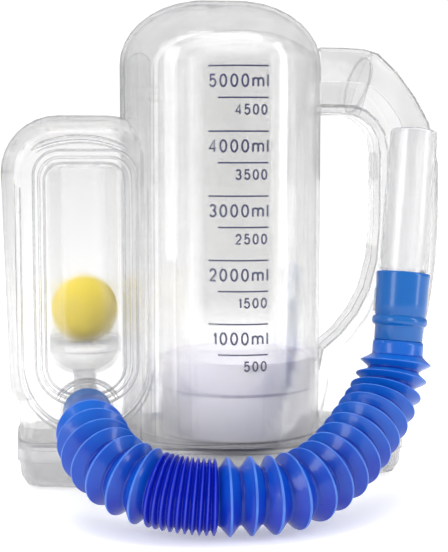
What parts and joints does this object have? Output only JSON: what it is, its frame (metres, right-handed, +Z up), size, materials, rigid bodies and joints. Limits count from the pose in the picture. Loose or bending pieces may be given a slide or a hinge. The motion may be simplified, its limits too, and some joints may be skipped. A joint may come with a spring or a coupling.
{
  "type": "breathing trainer",
  "caption": "Desktop volumetric breathing trainer: clear tower with piston and scale, flow ball chamber, hollow handle, ribbed hose and mouthpiece.",
  "frame": {"origin": "on the ground under the middle of the body's length and depth, cord left out", "axes": "+Z up, -Y towards the scale's reader, +X from the ball chamber to the handle"},
  "size_m": [0.238, 0.1947, 0.256],
  "materials": {
    "clear_styrene": "clear gloss",
    "frosted_styrene": "frosted",
    "white_polypropylene": "satin",
    "seal_silicone": "matte",
    "yellow_polypropylene": "gloss",
    "grey_foam": "open foam",
    "blue_vinyl": "satin",
    "blue_polyethylene": "gloss"
  },
  "bodies": {
    "body": {"base_tray": "frosted_styrene", "deck_plate": "frosted_styrene", "air_filter": "grey_foam", "tower_shell": "clear_styrene", "measuring_cylinder": "clear_styrene", "air_duct": "clear_styrene", "chamber_front": "clear_styrene", "chamber_rear": "clear_styrene", "flow_tube": "clear_styrene", "ball_seat": "frosted_styrene", "ball_stop": "frosted_styrene", "hose_port": "frosted_styrene", "handle_stub": "clear_styrene", "handle_ring": "frosted_styrene", "handle_front": "clear_styrene", "handle_rear": "clear_styrene", "cuff_clip": "frosted_styrene", "hose_cuff_lower": "blue_vinyl", "hose": "blue_polyethylene", "hose_cuff_upper": "blue_vinyl"},
    "piston": {"piston_cap": "white_polypropylene", "piston_seal": "seal_silicone", "piston_skirt": "white_polypropylene"},
    "ball": {"flow_ball": "yellow_polypropylene"},
    "mouthpiece": {"mouthpiece": "clear_styrene"}
  },
  "joints": [
    {"name": "piston_lift", "type": "slide", "parent": "body", "child": "piston", "axis": [0, 0, 1], "range_m": [0, 0.154]},
    {"name": "ball_lift", "type": "slide", "parent": "body", "child": "ball", "axis": [0, 0, 1], "range_m": [0, 0.058]},
    {"name": "mouthpiece_pull", "type": "slide", "parent": "body", "child": "mouthpiece", "axis": [0.1035, 0.1392, 0.9848], "range_m": [0, 0.02]}
  ]
}
